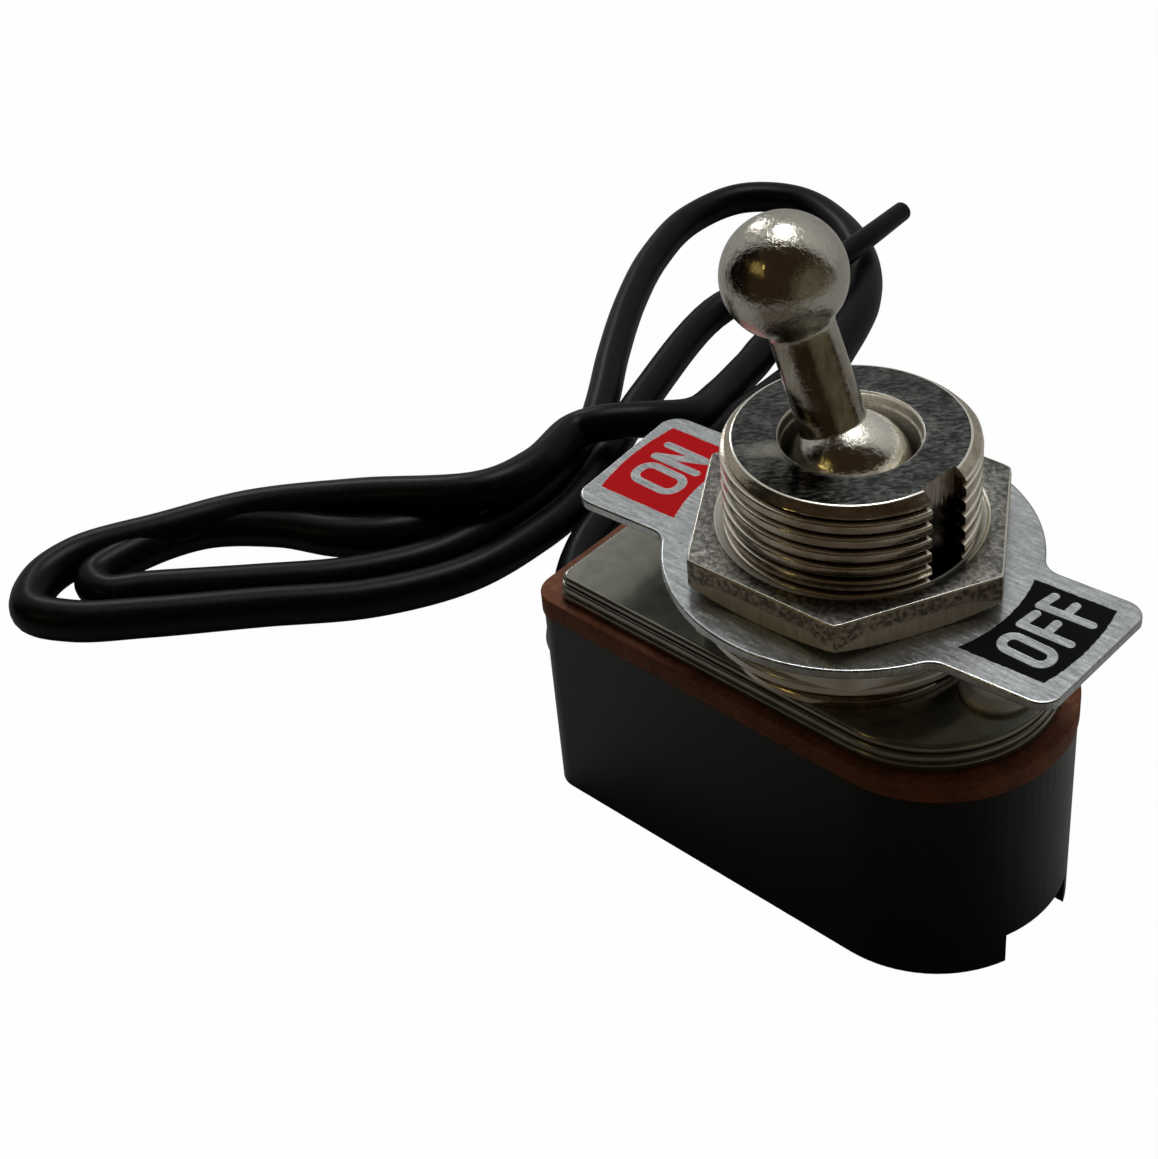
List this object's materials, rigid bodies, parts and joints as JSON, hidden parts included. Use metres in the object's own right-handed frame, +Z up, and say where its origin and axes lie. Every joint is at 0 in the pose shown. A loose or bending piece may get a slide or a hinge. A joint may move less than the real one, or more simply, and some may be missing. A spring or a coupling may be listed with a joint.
{
  "type": "panel toggle switch",
  "caption": "Panel-mount toggle switch: ball-ended metal lever in a threaded bushing with hexagon nuts and an ON/OFF plate, moulded black body and black wire leads.",
  "frame": {"origin": "point on the base of the case under the axis of the bushing", "axes": "+Z up the bushing toward the lever's ball, +X along the body toward its round end and the OFF tab, +Y across the body; the lever rests in ON, tilted toward -X"},
  "size_m": [0.0662, 0.0673, 0.0354],
  "materials": {
    "black_moulding": "satin moulded",
    "brown_fibre": "matte vulcanised fibre",
    "zinc_plate": "satin plated",
    "nickel_bushing": "dulled nickel plate",
    "nickel_lever": "bright nickel plate",
    "pin_steel": "drawn wire",
    "white_nylon": "moulded",
    "brass_contact": "stamped",
    "silver_contact": "polished",
    "rivet_metal": "plated",
    "nut_steel": "plated",
    "printed_aluminium": "brushed with printed fields",
    "black_insulation": "satin"
  },
  "bodies": {
    "body": {"case": "black_moulding", "fibre_sheet": "brown_fibre", "plate_lower": "zinc_plate", "plate_middle": "zinc_plate", "plate_upper": "zinc_plate", "bushing": "nickel_bushing", "pivot_pin": "pin_steel", "rocker_pin": "pin_steel", "common_terminal": "brass_contact", "on_terminal": "brass_contact", "on_contact": "silver_contact", "rivet_on": "rivet_metal", "rivet_off": "rivet_metal", "back_nut": "nut_steel", "lock_washer": "nut_steel", "sign_plate": "printed_aluminium", "face_nut": "nut_steel", "lead_a": "black_insulation", "lead_b": "black_insulation"},
    "handle": {"lever": "nickel_lever", "plunger": "white_nylon", "plunger_spring": "pin_steel"},
    "contact_rocker": {"rocker": "brass_contact", "rocker_contact": "silver_contact"}
  },
  "joints": [
    {"name": "lever_swing", "type": "hinge", "parent": "body", "child": "handle", "pos_m": [0, 0, 0.0229], "axis": [0, 1, 0], "range_deg": [0, 42]},
    {"name": "rocker_swing", "type": "hinge", "parent": "body", "child": "contact_rocker", "pos_m": [0, 0, 0.0066], "axis": [0, 1, 0], "range_deg": [-20, 0]}
  ],
  "couplings": [
    {"joint": "rocker_swing", "follows": "lever_swing", "ratio": -0.47619}
  ]
}
